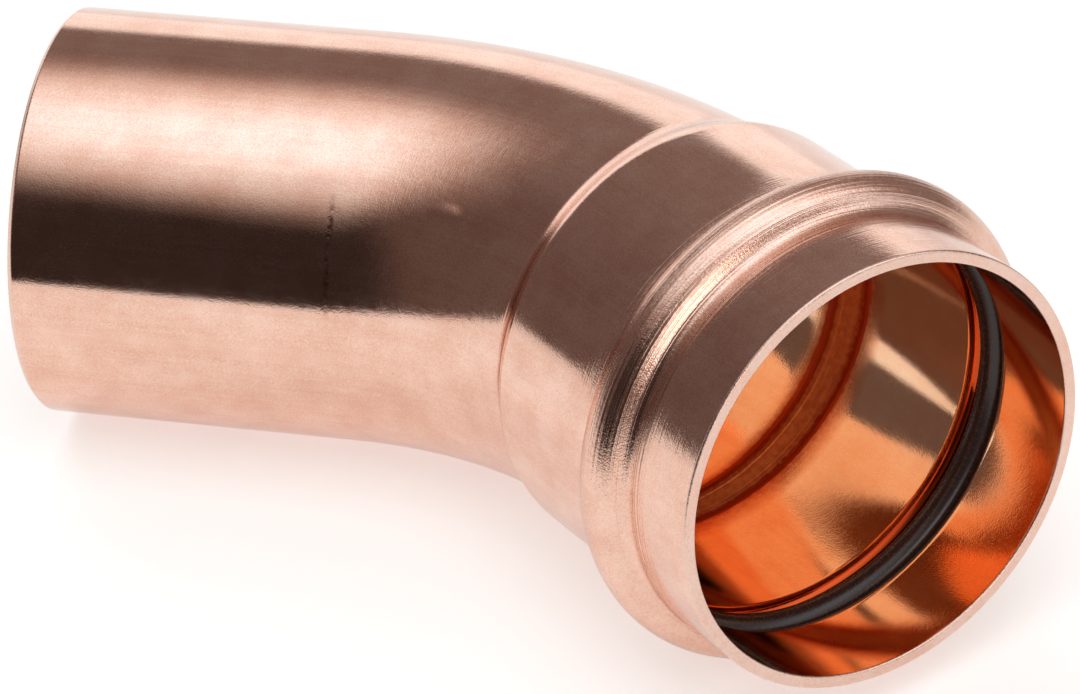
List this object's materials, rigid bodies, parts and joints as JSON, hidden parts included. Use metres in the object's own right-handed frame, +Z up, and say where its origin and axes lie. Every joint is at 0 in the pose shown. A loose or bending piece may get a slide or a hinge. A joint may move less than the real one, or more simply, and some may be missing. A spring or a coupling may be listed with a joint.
{
  "type": "press fitting elbow",
  "caption": "Copper tube elbow turning 45 degrees, with a plain spigot at one end and a beaded press socket at the other that holds a rubber sealing ring.",
  "frame": {"origin": "centre of the spigot's end face, on the spigot's axis", "axes": "+X runs up the spigot towards the bend, +Z is up, and the socket turns towards -Y and a little up, as the fitting lies on its side at rest on the spigot and the bead"},
  "size_m": [0.1376, 0.0949, 0.0647],
  "materials": {
    "copper": "polished",
    "seal_rubber": "satin"
  },
  "bodies": {
    "root": {"copper_elbow": "copper", "sealing_ring": "seal_rubber"}
  },
  "joints": []
}
